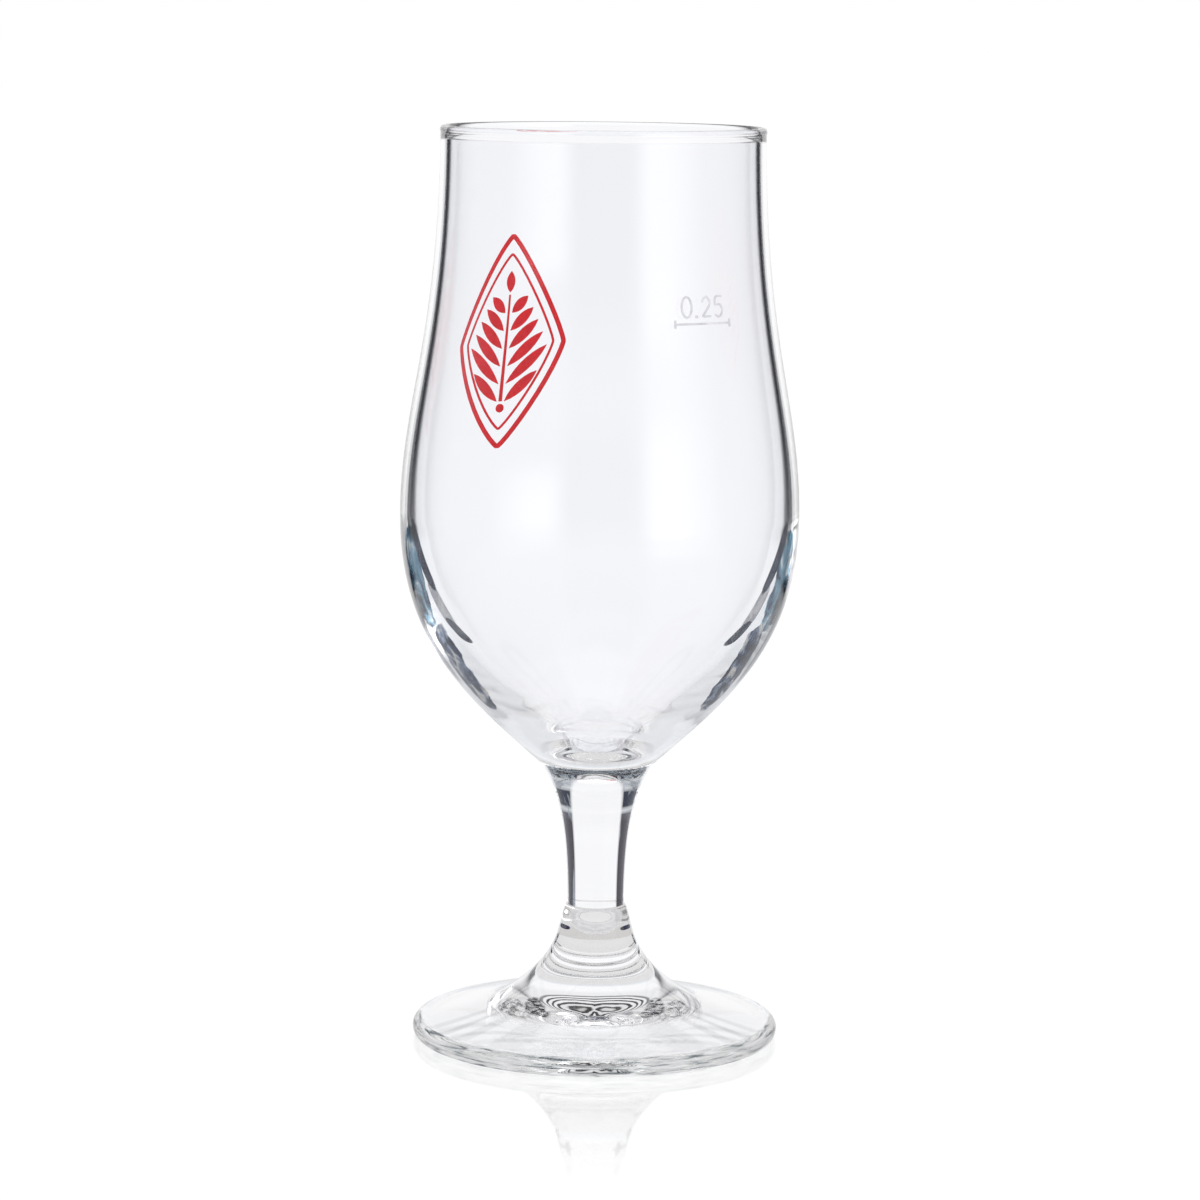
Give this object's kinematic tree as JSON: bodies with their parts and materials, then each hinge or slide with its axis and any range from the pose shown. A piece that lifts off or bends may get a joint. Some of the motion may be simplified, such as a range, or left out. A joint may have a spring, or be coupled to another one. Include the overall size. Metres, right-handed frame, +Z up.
{
  "type": "beer goblet",
  "caption": "Clear footed beer goblet: a tulip bowl with a beaded rim on a short waisted stem and a round foot, with a red enamel emblem and a fill mark.",
  "frame": {"origin": "centre of the foot's contact ring, on the surface that the goblet stands on", "axes": "+Z up along the axis of revolution, -Y towards the side that carries the red emblem, +Y towards the fill mark"},
  "size_m": [0.0768, 0.0768, 0.1765],
  "materials": {
    "clear_glass": "gloss",
    "red_enamel": "satin",
    "pale_enamel": "matte"
  },
  "bodies": {
    "root": {"bowl": "clear_glass", "stem": "clear_glass", "foot": "clear_glass", "emblem_outer_frame": "red_enamel", "emblem_inner_frame": "red_enamel", "emblem_berry": "red_enamel", "emblem_stalk": "red_enamel", "emblem_leaf_left_1": "red_enamel", "emblem_leaf_left_2": "red_enamel", "emblem_leaf_left_3": "red_enamel", "emblem_leaf_left_4": "red_enamel", "emblem_leaf_left_5": "red_enamel", "emblem_leaf_left_6": "red_enamel", "emblem_leaf_right_1": "red_enamel", "emblem_leaf_right_2": "red_enamel", "emblem_leaf_right_3": "red_enamel", "emblem_leaf_right_4": "red_enamel", "emblem_leaf_right_5": "red_enamel", "emblem_leaf_right_6": "red_enamel", "emblem_leaf_tip": "red_enamel", "fill_line": "pale_enamel", "fill_numeral_0": "pale_enamel", "fill_numeral_point": "pale_enamel", "fill_numeral_2": "pale_enamel", "fill_numeral_5": "pale_enamel"}
  },
  "joints": []
}
